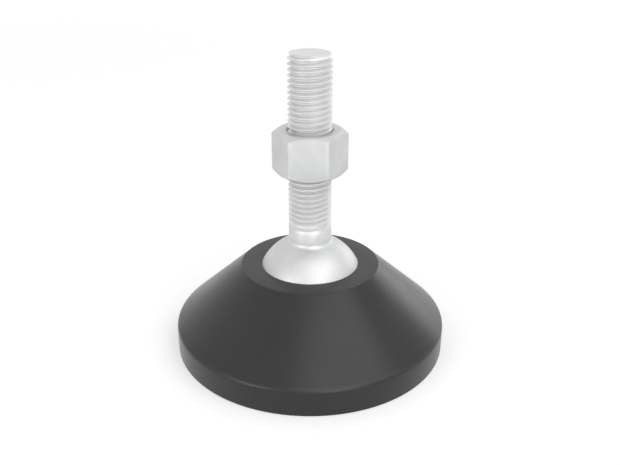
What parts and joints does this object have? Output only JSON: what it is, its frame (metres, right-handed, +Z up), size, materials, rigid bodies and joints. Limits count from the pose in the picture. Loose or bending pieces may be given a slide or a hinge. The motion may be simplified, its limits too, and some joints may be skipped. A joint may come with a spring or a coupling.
{
  "type": "levelling foot",
  "caption": "Adjustable levelling foot: conical ribbed plastic base, captive ball joint, threaded steel spindle and hexagon lock nut.",
  "frame": {"origin": "on the floor, in the middle of the base's underside", "axes": "+Z up along the spindle, +X to the right and +Y away from the viewer of the picture"},
  "size_m": [0.104, 0.104, 0.1126],
  "materials": {
    "base_plastic": "glass-filled polyamide, black, fine moulded grain",
    "seat_plastic": "acetal, natural white",
    "ring_steel": "spring steel, phosphated",
    "spindle_steel": "turned steel, zinc plated, satin",
    "nut_steel": "steel, zinc plated, satin"
  },
  "bodies": {
    "base": {"foot_base": "base_plastic", "retaining_ring": "ring_steel"},
    "seat": {"ball_seat": "seat_plastic"},
    "spindle": {"spindle": "spindle_steel"},
    "nut": {"lock_nut": "nut_steel"}
  },
  "joints": [
    {"name": "seat_turn", "type": "hinge", "parent": "base", "child": "seat", "pos_m": [0, 0, 0.023], "axis": [0, 0, 1], "continuous": true},
    {"name": "spindle_tilt", "type": "hinge", "parent": "seat", "child": "spindle", "pos_m": [0, 0, 0.023], "axis": [0, 1, 0], "range_deg": [-15, 15]},
    {"name": "nut_travel", "type": "slide", "parent": "spindle", "child": "nut", "axis": [0, 0, 1], "range_m": [-0.02, 0.024]}
  ]
}
